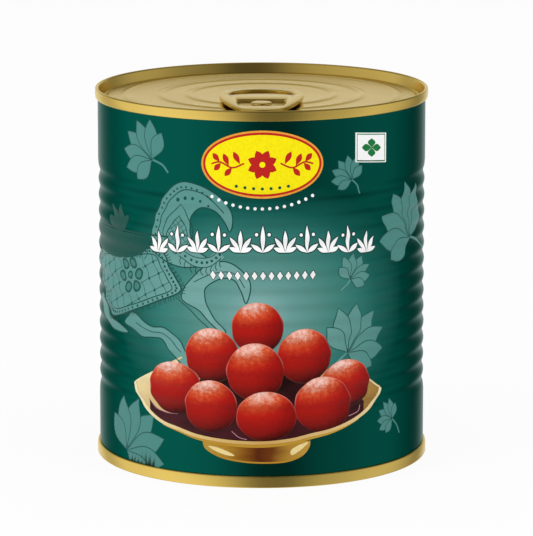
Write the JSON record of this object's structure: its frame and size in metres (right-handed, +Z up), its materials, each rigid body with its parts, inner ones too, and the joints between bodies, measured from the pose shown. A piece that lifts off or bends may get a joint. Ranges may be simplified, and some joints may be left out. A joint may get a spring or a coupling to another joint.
{
  "type": "ring-pull food can",
  "caption": "Shut cylindrical tin can with rolled side beads, seamed gold-lacquered ends and a ring-pull tab on the lid.",
  "frame": {"origin": "centre of the bottom seam's underside, on the surface that the can stands on", "axes": "+Z up along the can's axis; -Y towards the front of the print, the side that the tab's nose points to"},
  "size_m": [0.103, 0.103, 0.1152],
  "materials": {
    "printed_wall": "green printed tinplate under gloss varnish, with pale teal flowers, a golden bowl and red-brown balls",
    "lacquered_lid": "satin gold lacquer on tinplate",
    "lacquered_base": "satin gold lacquer on tinplate",
    "lacquered_tab": "satin gold lacquer on folded tinplate",
    "lacquered_rivet": "satin gold lacquer on tinplate"
  },
  "bodies": {
    "root": {"can_body": "printed_wall", "top_end": "lacquered_lid", "bottom_end": "lacquered_base", "pull_tab": "lacquered_tab", "tab_rivet": "lacquered_rivet"}
  },
  "joints": []
}
